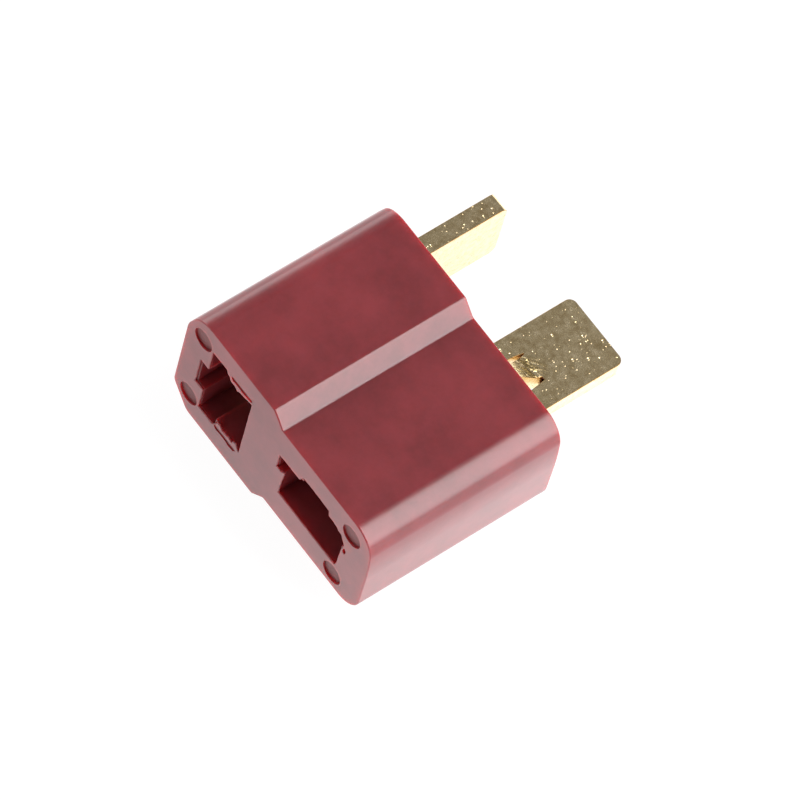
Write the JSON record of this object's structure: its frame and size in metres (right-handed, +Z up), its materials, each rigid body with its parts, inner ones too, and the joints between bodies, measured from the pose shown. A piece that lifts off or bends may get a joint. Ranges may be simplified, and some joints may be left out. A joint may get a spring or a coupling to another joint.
{
  "type": "flat blade power connector socket",
  "caption": "Keyed battery connector socket: a stepped red moulded housing with flat-blade sockets set at right angles, and gold-plated solder tabs with bent locking tongues.",
  "frame": {"origin": "middle of the overall width and length, on the underside of the thick half", "axes": "+X across the housing towards the thin half, +Y from the mating face to the solder tabs, +Z up out of the broad faces"},
  "size_m": [0.0164, 0.019, 0.0094],
  "materials": {
    "housing": "moulded red nylon, half gloss",
    "contact": "gold plated strip, slightly grainy",
    "spring": "bright spring strip"
  },
  "bodies": {
    "root": {"housing": "housing", "flat_contact": "contact", "upright_contact": "contact", "flat_spring": "spring", "upright_spring": "spring"}
  },
  "joints": []
}
